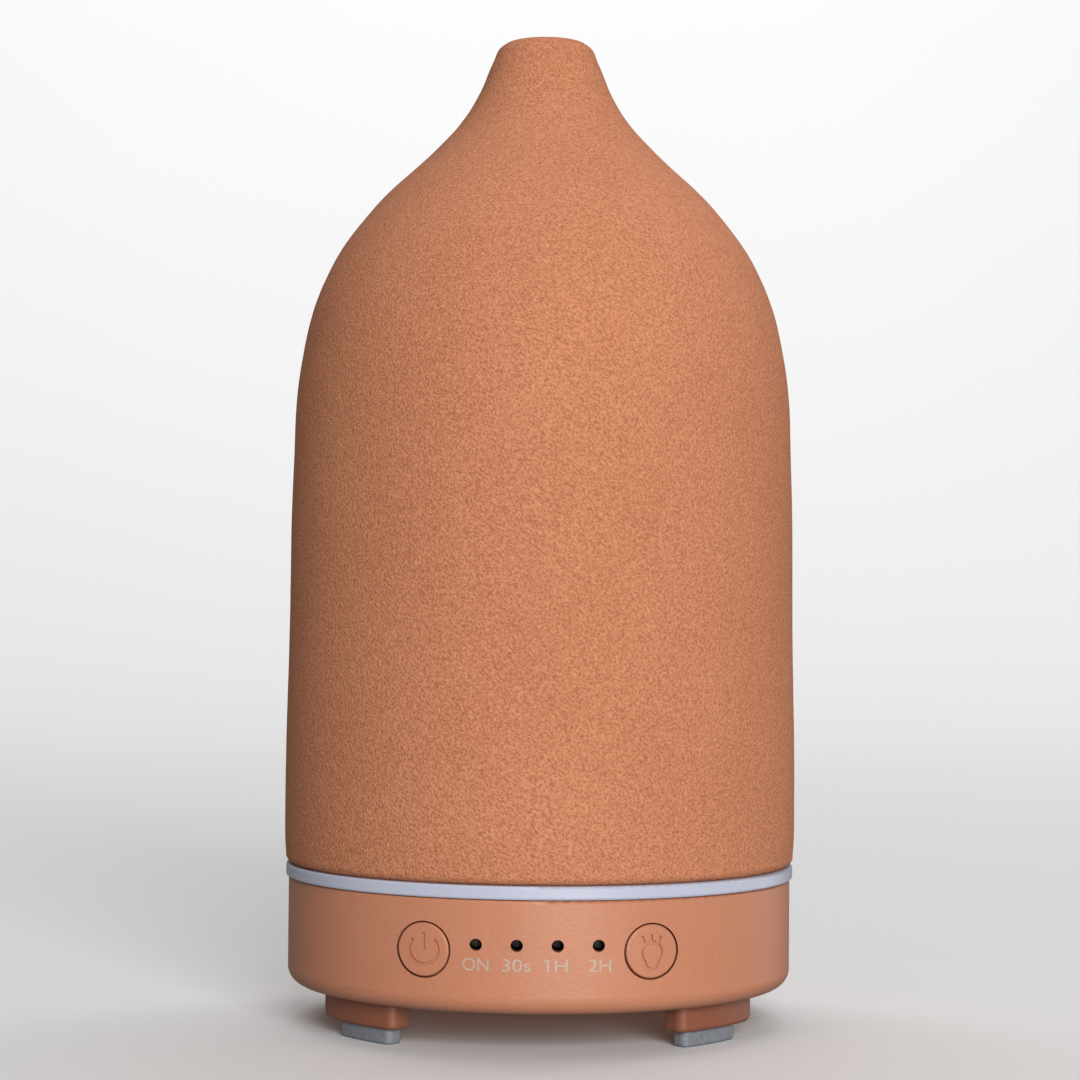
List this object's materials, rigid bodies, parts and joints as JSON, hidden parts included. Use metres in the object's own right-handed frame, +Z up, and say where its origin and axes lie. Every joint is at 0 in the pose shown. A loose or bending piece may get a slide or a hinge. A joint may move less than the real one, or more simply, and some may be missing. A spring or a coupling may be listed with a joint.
{
  "type": "essential oil diffuser",
  "caption": "Table-top ultrasonic oil diffuser with a bottle-shaped stoneware cover, light ring and round base with push buttons on feet.",
  "frame": {"origin": "centre of the footprint, on the table under the foot pads", "axes": "+Z up through the mist hole, the buttons and indicators face -Y, the power socket faces +Y"},
  "size_m": [0.0928, 0.0928, 0.179],
  "materials": {
    "stoneware": "unglazed, sandy",
    "base_plastic": "fine satin",
    "milky_plastic": "milky, satin",
    "frosted_plastic": "frosted",
    "white_plastic": "satin",
    "silicone": "matte",
    "piezo_metal": "satin",
    "white_board": "solder mask",
    "green_board": "solder mask",
    "led_plastic": "clear resin",
    "black_plastic": "fine texture",
    "bronze": "sintered",
    "steel": "zinc plated",
    "magnet": "matte",
    "copper": "enamelled",
    "ferrite": "matte",
    "capacitor_can": "sleeved",
    "nylon": "satin",
    "nickel": "polished",
    "red_insulation": "satin",
    "white_insulation": "satin",
    "pad_rubber": "matte",
    "label_ink": "printed"
  },
  "bodies": {
    "base": {"water_tank": "white_plastic", "light_ring": "milky_plastic", "tank_seal": "silicone", "ring_board": "white_board", "ring_leds": "led_plastic", "base_shell": "base_plastic", "bottom_cover": "base_plastic", "control_board": "green_board", "power_switch": "black_plastic", "light_switch": "black_plastic", "indicator_shield": "black_plastic", "fan_frame": "black_plastic", "fan_bearing": "bronze", "fan_stator": "copper", "fan_hood": "black_plastic", "fan_screws": "steel", "base_screws": "steel", "board_screws": "steel", "piezo_screws": "steel", "piezo_disc": "piezo_metal", "piezo_seal": "silicone", "piezo_retainer": "white_plastic", "main_board": "green_board", "drive_coil": "ferrite", "filter_capacitor": "capacitor_can", "controller_chip": "black_plastic", "power_transistor": "black_plastic", "board_connectors": "nylon", "dc_jack_housing": "black_plastic", "dc_jack_pin": "nickel", "dc_jack_terminals": "nickel", "foot_pad_front_left": "pad_rubber", "foot_pad_front_right": "pad_rubber", "foot_pad_back_right": "pad_rubber", "foot_pad_back_left": "pad_rubber", "indicator_led_on": "led_plastic", "indicator_led_30s": "led_plastic", "indicator_led_1h": "led_plastic", "indicator_led_2h": "led_plastic", "fan_lead": "red_insulation", "piezo_lead": "white_insulation", "ring_lead": "white_insulation", "power_lead": "red_insulation", "panel_lead": "white_insulation"},
    "cover": {"ceramic_cover": "stoneware"},
    "inner_lid": {"inner_cover": "frosted_plastic"},
    "power_key": {"power_button": "base_plastic", "power_switch_plunger": "black_plastic"},
    "light_key": {"light_button": "base_plastic", "light_switch_plunger": "black_plastic"},
    "fan_rotor": {"fan_impeller": "black_plastic", "fan_magnet": "magnet", "fan_shaft": "steel"}
  },
  "joints": [
    {"name": "cover_lift", "type": "slide", "parent": "base", "child": "cover", "axis": [0, 0, 1], "range_m": [0, 0.15]},
    {"name": "inner_cover_lift", "type": "slide", "parent": "base", "child": "inner_lid", "axis": [0, 0, 1], "range_m": [0, 0.0375]},
    {"name": "power_button_press", "type": "slide", "parent": "base", "child": "power_key", "axis": [0, 1, 0], "range_m": [0, 0.0004], "stiffness_N_per_m": 400},
    {"name": "light_button_press", "type": "slide", "parent": "base", "child": "light_key", "axis": [0, 1, 0], "range_m": [0, 0.0004], "stiffness_N_per_m": 400},
    {"name": "fan_spin", "type": "hinge", "parent": "base", "child": "fan_rotor", "pos_m": [0, 0.0155, 0.0131], "axis": [0, 0, 1], "continuous": true}
  ],
  "couplings": [
    {"joint": "inner_cover_lift", "follows": "cover_lift", "ratio": 0.25}
  ]
}
